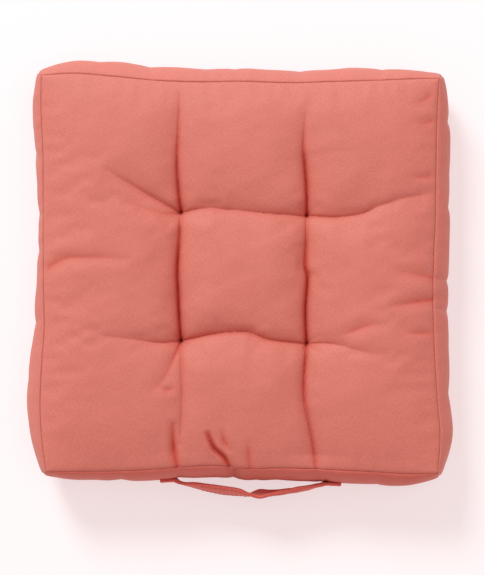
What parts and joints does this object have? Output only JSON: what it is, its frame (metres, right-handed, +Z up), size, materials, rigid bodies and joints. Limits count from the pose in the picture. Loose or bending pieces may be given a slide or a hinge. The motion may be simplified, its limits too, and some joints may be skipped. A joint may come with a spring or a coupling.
{
  "type": "floor cushion",
  "caption": "Square box-edged floor cushion, tufted through at points on its top, with a carrying handle of the same cloth that swings on the front boxing.",
  "frame": {"origin": "on the floor, under the centre of the square that the cushion's seams make", "axes": "+Z up, -Y towards the front with the handle, +X to the right as seen from above with the handle nearest"},
  "size_m": [0.4, 0.4145, 0.08],
  "materials": {
    "cotton_canvas": "plain woven cotton canvas, coral, matt",
    "handle_canvas": "the same coral cotton canvas, folded in layers",
    "polyester_fibre": "loose white polyester fibre",
    "waxed_thread": "waxed cotton tufting thread, coral",
    "sewing_thread": "spun polyester sewing thread, coral"
  },
  "bodies": {
    "cushion": {"top_panel": "cotton_canvas", "bottom_panel": "cotton_canvas", "boxing_front": "cotton_canvas", "boxing_back": "cotton_canvas", "boxing_left": "cotton_canvas", "boxing_right": "cotton_canvas", "fibre_filling": "polyester_fibre", "tuft_tie_front_left": "waxed_thread", "tuft_tie_front_right": "waxed_thread", "tuft_tie_back_left": "waxed_thread", "tuft_tie_back_right": "waxed_thread", "top_seam_thread": "sewing_thread", "bottom_seam_thread": "sewing_thread", "corner_seam_threads": "sewing_thread", "closing_stitches": "sewing_thread", "handle_end_left": "handle_canvas", "handle_end_right": "handle_canvas", "handle_end_stitches_left": "sewing_thread", "handle_end_stitches_right": "sewing_thread"},
    "handle": {"handle_strap": "handle_canvas", "handle_edge_stitches": "sewing_thread"}
  },
  "joints": [
    {"name": "handle_swing", "type": "hinge", "parent": "cushion", "child": "handle", "pos_m": [0.011, -0.202, 0.038], "axis": [-1, 0, 0], "range_deg": [-45, 45]}
  ]
}
